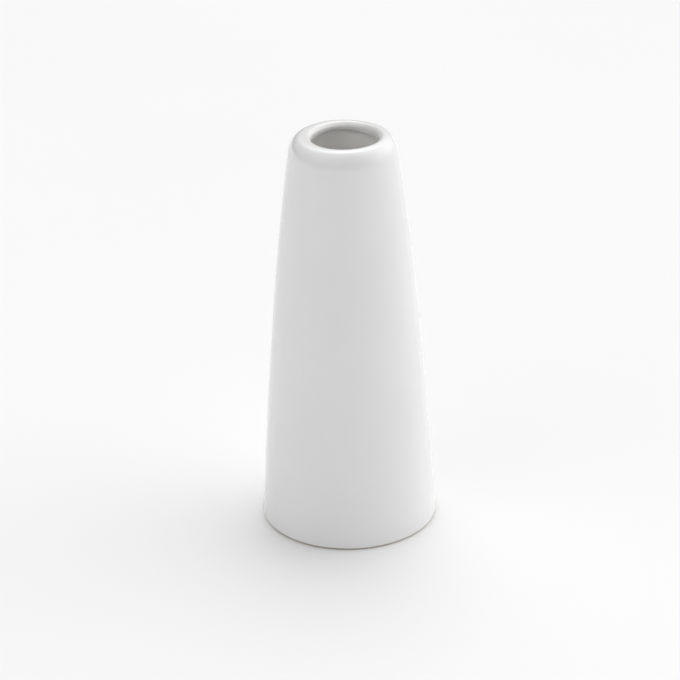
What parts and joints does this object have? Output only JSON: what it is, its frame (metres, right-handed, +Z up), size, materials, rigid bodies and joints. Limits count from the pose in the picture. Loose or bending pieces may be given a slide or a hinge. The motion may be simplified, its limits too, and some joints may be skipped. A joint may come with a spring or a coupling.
{
  "type": "bud vase",
  "caption": "Tapered round bud vase in glazed ceramic, with a soft rolled lip, a small round mouth, a hollow inside and a bare foot ring round a shallow recess.",
  "frame": {"origin": "on the vase's axis, at the table, in the middle of the foot ring's flat underside", "axes": "+Z up along the vase's axis; +X to the viewer's right and +Y away from the viewer, in the view the part was made from"},
  "size_m": [0.0648, 0.0648, 0.15],
  "materials": {
    "fired_clay": "bare fired stoneware, matte, fine grain, on the foot ring only",
    "outer_glaze": "gloss white glaze, fine waves, slightly warmer where it thins at the mouth",
    "liner_glaze": "gloss warm white liner glaze",
    "base_glaze": "gloss white glaze in the recess under the base"
  },
  "bodies": {
    "root": {"clay_body": "fired_clay", "outer_glaze": "outer_glaze", "liner_glaze": "liner_glaze", "base_glaze": "base_glaze"}
  },
  "joints": []
}
